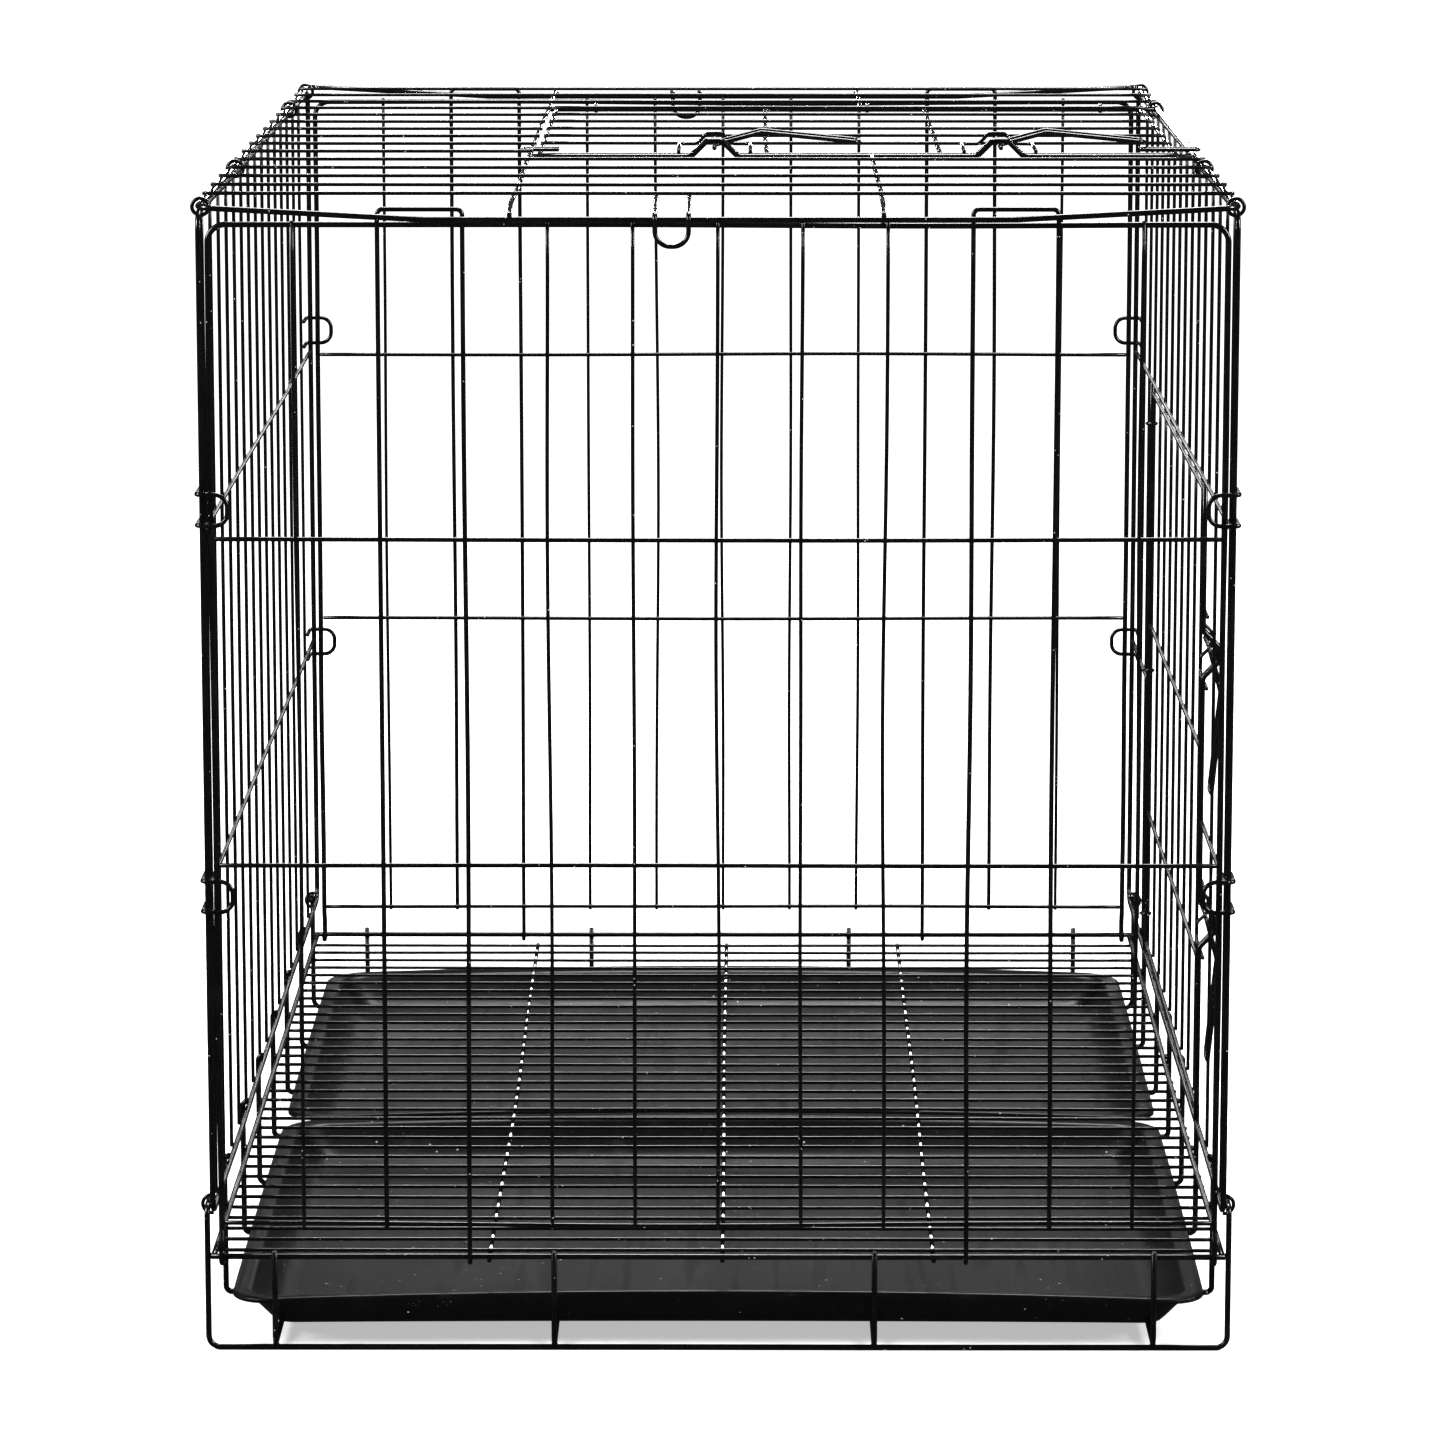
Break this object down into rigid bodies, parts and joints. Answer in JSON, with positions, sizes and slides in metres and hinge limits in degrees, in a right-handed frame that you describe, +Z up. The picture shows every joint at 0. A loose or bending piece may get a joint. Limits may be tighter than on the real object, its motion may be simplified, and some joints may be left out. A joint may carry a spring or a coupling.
{
  "type": "wire dog crate",
  "caption": "Folding wire dog crate with fold-down ends, a top door and a side door with slide bolts, a raised wire floor and moulded trays under it.",
  "frame": {"origin": "middle of the footprint, on the ground, at the bottom of the foot frames", "axes": "+Z up, +Y from the near end to the far end along the crate's length, +X to the right, towards the side with the door"},
  "size_m": [0.7171, 1.066, 0.8025],
  "materials": {
    "coated_wire": "gloss black coating over steel wire",
    "bolt_wire": "gloss black coating, worn where the bolt slides",
    "tray_plastic": "black moulded plastic with a soft satin sheen"
  },
  "bodies": {
    "crate_frame": {"cross_rails": "coated_wire", "far_side_hooks": "coated_wire", "floor_bars": "coated_wire", "floor_border": "coated_wire", "floor_wires": "coated_wire", "foot_frames": "coated_wire", "left_foot_clips": "coated_wire", "left_side_bars": "coated_wire", "left_side_border": "coated_wire", "left_side_wires": "coated_wire", "left_top_clips": "coated_wire", "long_rails": "coated_wire", "near_side_hooks": "coated_wire", "right_foot_clips": "coated_wire", "right_side_bars": "coated_wire", "right_side_border": "coated_wire", "right_side_wires": "coated_wire", "right_top_clips": "coated_wire", "side_door_frame": "coated_wire", "top_bars": "coated_wire", "top_border": "coated_wire", "top_door_frame": "coated_wire", "top_tabs": "coated_wire", "top_wires": "coated_wire"},
    "near_end": {"near_end_bars": "coated_wire", "near_end_border": "coated_wire", "near_end_latch_loops": "coated_wire", "near_end_wires": "coated_wire"},
    "far_end": {"far_end_bars": "coated_wire", "far_end_border": "coated_wire", "far_end_latch_loops": "coated_wire", "far_end_wires": "coated_wire"},
    "top_door": {"top_door_border": "coated_wire", "top_door_wires": "coated_wire", "top_door_bars": "coated_wire", "top_door_bolt_guides": "coated_wire", "top_door_hinge_eyes": "coated_wire", "top_door_stops": "coated_wire"},
    "side_door": {"side_door_border": "coated_wire", "side_door_wires": "coated_wire", "side_door_bars": "coated_wire", "side_door_bolt_guides": "coated_wire", "side_door_hinge_eyes": "coated_wire"},
    "top_bolt_left": {"top_bolt_left": "bolt_wire"},
    "top_bolt_right": {"top_bolt_right": "bolt_wire"},
    "side_bolt_lower": {"side_bolt_lower": "bolt_wire"},
    "side_bolt_upper": {"side_bolt_upper": "bolt_wire"},
    "near_tray": {"near_tray": "tray_plastic"},
    "far_tray": {"far_tray": "tray_plastic"}
  },
  "joints": [
    {"name": "near_end_fold", "type": "hinge", "parent": "crate_frame", "child": "near_end", "pos_m": [0, -0.5197, 0.066], "axis": [-1, 0, 0], "range_deg": [0, 88]},
    {"name": "far_end_fold", "type": "hinge", "parent": "crate_frame", "child": "far_end", "pos_m": [0, 0.5197, 0.066], "axis": [1, 0, 0], "range_deg": [0, 85]},
    {"name": "top_door_swing", "type": "hinge", "parent": "crate_frame", "child": "top_door", "pos_m": [0, 0.292, 0.785], "axis": [-1, 0, 0], "range_deg": [0, 135]},
    {"name": "side_door_swing", "type": "hinge", "parent": "crate_frame", "child": "side_door", "pos_m": [0.345, 0.308, 0], "axis": [0, 0, 1], "range_deg": [0, 135]},
    {"name": "near_tray_shift", "type": "slide", "parent": "crate_frame", "child": "near_tray", "axis": [0, 1, 0], "range_m": [-0.002, 0.004]},
    {"name": "far_tray_shift", "type": "slide", "parent": "crate_frame", "child": "far_tray", "axis": [0, -1, 0], "range_m": [-0.002, 0.004]},
    {"name": "top_bolt_left_slide", "type": "slide", "parent": "top_door", "child": "top_bolt_left", "axis": [0, 1, 0], "range_m": [0, 0.02]},
    {"name": "top_bolt_right_slide", "type": "slide", "parent": "top_door", "child": "top_bolt_right", "axis": [0, 1, 0], "range_m": [0, 0.02]},
    {"name": "side_bolt_lower_slide", "type": "slide", "parent": "side_door", "child": "side_bolt_lower", "axis": [0, 1, 0], "range_m": [0, 0.02]},
    {"name": "side_bolt_upper_slide", "type": "slide", "parent": "side_door", "child": "side_bolt_upper", "axis": [0, 1, 0], "range_m": [0, 0.02]}
  ]
}
